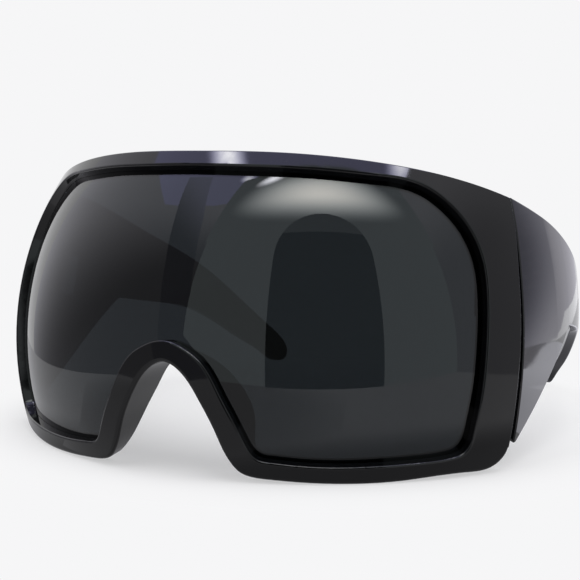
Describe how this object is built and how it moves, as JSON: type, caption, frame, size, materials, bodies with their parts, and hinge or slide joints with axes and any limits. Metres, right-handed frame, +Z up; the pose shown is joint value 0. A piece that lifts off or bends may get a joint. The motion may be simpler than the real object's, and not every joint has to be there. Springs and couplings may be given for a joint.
{
  "type": "sunglasses",
  "caption": "Wraparound shield sunglasses: a domed smoke lens in a glossy black full rim, a deep nose saddle, and wide tapering temples that fold on barrel hinges.",
  "frame": {"origin": "on the table, under the middle of the overall box", "axes": "+X towards the side that is nearer in the picture, +Y from the lens back to the temple tips, +Z up"},
  "size_m": [0.1436, 0.1614, 0.0742],
  "materials": {
    "rim_black": "polished",
    "temple_black": "polished",
    "saddle_black": "polished",
    "lens_smoke": "polished, tinted, see-through",
    "hinge_steel": "satin",
    "screw_steel": "satin"
  },
  "bodies": {
    "front": {"front_frame": "rim_black", "shield_lens": "lens_smoke", "nose_saddle": "saddle_black", "right_frame_hinge": "hinge_steel", "right_hinge_screw": "screw_steel", "right_frame_hinge_screws": "screw_steel", "left_frame_hinge": "hinge_steel", "left_hinge_screw": "screw_steel", "left_frame_hinge_screws": "screw_steel"},
    "right_side": {"right_temple": "temple_black", "right_temple_hinge": "hinge_steel", "right_temple_hinge_screws": "screw_steel"},
    "left_side": {"left_temple": "temple_black", "left_temple_hinge": "hinge_steel", "left_temple_hinge_screws": "screw_steel"}
  },
  "joints": [
    {"name": "right_temple_fold", "type": "hinge", "parent": "front", "child": "right_side", "pos_m": [0.06314, -0.03134, 0.0402], "axis": [-0.0721, 0.1889, 0.9793], "range_deg": [0, 74]},
    {"name": "left_temple_fold", "type": "hinge", "parent": "front", "child": "left_side", "pos_m": [-0.06314, -0.03134, 0.0402], "axis": [-0.0721, -0.1889, -0.9793], "range_deg": [0, 86]}
  ]
}
